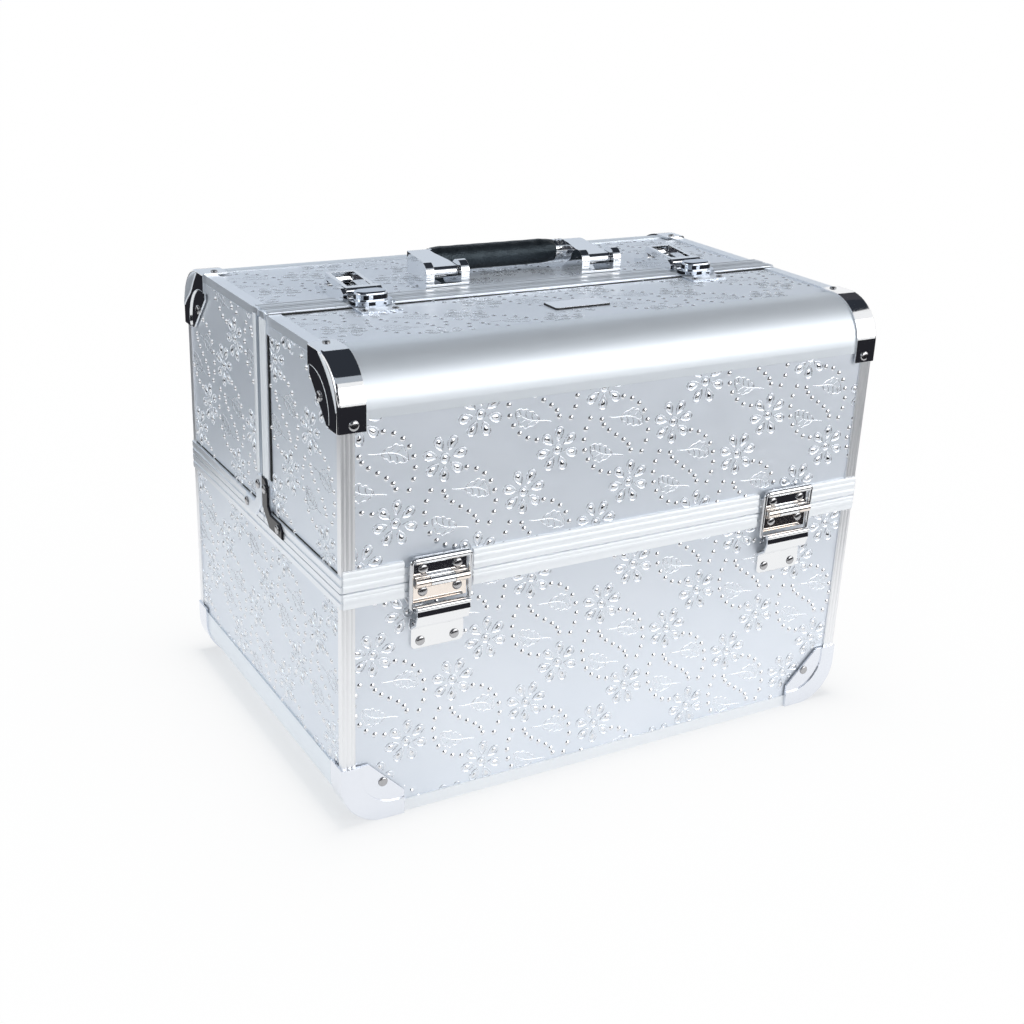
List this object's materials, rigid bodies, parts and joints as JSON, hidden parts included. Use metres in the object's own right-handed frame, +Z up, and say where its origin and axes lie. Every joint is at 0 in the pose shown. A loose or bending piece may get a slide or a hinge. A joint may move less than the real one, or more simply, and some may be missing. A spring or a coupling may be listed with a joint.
{
  "type": "makeup train case",
  "caption": "Aluminium-framed train case with embossed panels; its upper halves swing outward on stop hinges and carry cantilever trays, with a folding handle and lever latches on top.",
  "frame": {"origin": "middle of the footprint, on the surface that the case stands on", "axes": "+X to the case's right, -Y its front with the badge half, +Z up"},
  "size_m": [0.3666, 0.261, 0.2924],
  "materials": {
    "embossed_sheet": "pale silver sheet embossed with flowers and leaves, bonded to board",
    "satin_rail": "satin anodised extrusion",
    "bright_trim": "bright ribbed extrusion",
    "chrome": "mirror nickel plate",
    "corner_cap": "bright pressed steel",
    "steel_arm": "zinc-plated strip",
    "tray_plastic": "black moulded tray",
    "lining": "black flocked lining",
    "floor_board": "dark faced board",
    "grip_leather": "black grained grip"
  },
  "bodies": {
    "base": {"arm_pivots": "chrome", "base_bottom_rails": "bright_trim", "base_corner_caps": "corner_cap", "base_floor": "floor_board", "base_front_panel": "embossed_sheet", "base_liner": "lining", "base_posts": "bright_trim", "base_rear_panel": "embossed_sheet", "base_rim": "bright_trim", "base_rivets": "chrome", "base_rounded_rails": "satin_rail", "base_side_panels": "embossed_sheet", "hinge_lower_leaves": "chrome", "hinge_pins": "chrome", "stop_pockets": "chrome"},
    "front_lid": {"badge_plate": "chrome", "front_hinge_leaves": "chrome", "front_lid_brackets": "chrome", "front_lid_clips": "chrome", "front_lid_panel": "embossed_sheet", "front_lid_posts": "bright_trim", "front_lid_rim": "bright_trim", "front_lid_rivets": "chrome", "front_lid_rounded_rail": "satin_rail", "front_lid_sides": "embossed_sheet", "front_lid_split_rail": "bright_trim", "front_lid_top": "embossed_sheet", "front_lid_top_trims": "bright_trim", "front_tray_pins": "chrome", "latch_strikes": "chrome"},
    "front_bails": {"front_hinge_bails": "chrome"},
    "front_lower_tray": {"front_lower_tray": "tray_plastic"},
    "front_arms": {"front_tray_arms": "steel_arm"},
    "front_upper_tray": {"front_upper_tray": "tray_plastic"},
    "handle": {"handle_arms": "chrome", "handle_collars": "chrome", "handle_grip": "grip_leather"},
    "rear_lid": {"handle_brackets": "chrome", "handle_pins": "chrome", "latch_bases": "chrome", "rear_hinge_leaves": "chrome", "rear_lid_brackets": "bright_trim", "rear_lid_clips": "chrome", "rear_lid_panel": "embossed_sheet", "rear_lid_posts": "bright_trim", "rear_lid_rim": "bright_trim", "rear_lid_rivets": "chrome", "rear_lid_rounded_rail": "satin_rail", "rear_lid_sides": "embossed_sheet", "rear_lid_split_rail": "bright_trim", "rear_lid_top": "embossed_sheet", "rear_lid_top_trims": "bright_trim", "rear_tray_pins": "chrome"},
    "left_latch_lever": {"left_latch_lever": "chrome"},
    "rear_bails": {"rear_hinge_bails": "chrome"},
    "rear_lower_tray": {"rear_lower_tray": "tray_plastic"},
    "rear_arms": {"rear_tray_arms": "steel_arm"},
    "rear_upper_tray": {"rear_upper_tray": "tray_plastic"},
    "right_latch_lever": {"right_latch_lever": "chrome"}
  },
  "joints": [
    {"name": "front_lid_hinge", "type": "hinge", "parent": "base", "child": "front_lid", "pos_m": [0, -0.1264, 0.147], "axis": [1, 0, 0], "range_deg": [0, 90]},
    {"name": "front_arms_pivot", "type": "hinge", "parent": "base", "child": "front_arms", "pos_m": [0, -0.1004, 0.141], "axis": [1, 0, 0], "range_deg": [0, 90]},
    {"name": "front_lower_tray_pivot", "type": "hinge", "parent": "front_lid", "child": "front_lower_tray", "pos_m": [0, -0.0924, 0.161], "axis": [1, 0, 0], "range_deg": [-90, 0]},
    {"name": "front_upper_tray_pivot", "type": "hinge", "parent": "front_lid", "child": "front_upper_tray", "pos_m": [0, -0.0564, 0.199], "axis": [1, 0, 0], "range_deg": [-90, 0]},
    {"name": "front_bails_pivot", "type": "hinge", "parent": "front_lid", "child": "front_bails", "pos_m": [0, -0.1256, 0.16], "axis": [1, 0, 0], "range_deg": [-61, 0]},
    {"name": "rear_lid_hinge", "type": "hinge", "parent": "base", "child": "rear_lid", "pos_m": [0, 0.1264, 0.147], "axis": [-1, 0, 0], "range_deg": [0, 90]},
    {"name": "rear_arms_pivot", "type": "hinge", "parent": "base", "child": "rear_arms", "pos_m": [0, 0.0804, 0.141], "axis": [-1, 0, 0], "range_deg": [0, 90]},
    {"name": "rear_lower_tray_pivot", "type": "hinge", "parent": "rear_lid", "child": "rear_lower_tray", "pos_m": [0, 0.0924, 0.161], "axis": [-1, 0, 0], "range_deg": [-90, 0]},
    {"name": "rear_upper_tray_pivot", "type": "hinge", "parent": "rear_lid", "child": "rear_upper_tray", "pos_m": [0, 0.0564, 0.199], "axis": [-1, 0, 0], "range_deg": [-90, 0]},
    {"name": "rear_bails_pivot", "type": "hinge", "parent": "rear_lid", "child": "rear_bails", "pos_m": [0, 0.1256, 0.16], "axis": [-1, 0, 0], "range_deg": [-61, 0]},
    {"name": "handle_pivot", "type": "hinge", "parent": "rear_lid", "child": "handle", "pos_m": [0, 0.0078, 0.2842], "axis": [1, 0, 0], "range_deg": [0, 100]},
    {"name": "left_latch_pivot", "type": "hinge", "parent": "rear_lid", "child": "left_latch_lever", "pos_m": [-0.116, -0.005, 0.28], "axis": [1, 0, 0], "range_deg": [0, 100]},
    {"name": "right_latch_pivot", "type": "hinge", "parent": "rear_lid", "child": "right_latch_lever", "pos_m": [0.116, -0.005, 0.28], "axis": [1, 0, 0], "range_deg": [0, 100]}
  ],
  "couplings": [
    {"joint": "front_arms_pivot", "follows": "front_lid_hinge", "ratio": 1},
    {"joint": "front_lower_tray_pivot", "follows": "front_lid_hinge", "ratio": -1},
    {"joint": "front_upper_tray_pivot", "follows": "front_lid_hinge", "ratio": -1},
    {"joint": "front_bails_pivot", "follows": "front_lid_hinge", "ratio": -0.671},
    {"joint": "rear_arms_pivot", "follows": "rear_lid_hinge", "ratio": 1},
    {"joint": "rear_lower_tray_pivot", "follows": "rear_lid_hinge", "ratio": -1},
    {"joint": "rear_upper_tray_pivot", "follows": "rear_lid_hinge", "ratio": -1},
    {"joint": "rear_bails_pivot", "follows": "rear_lid_hinge", "ratio": -0.671}
  ]
}
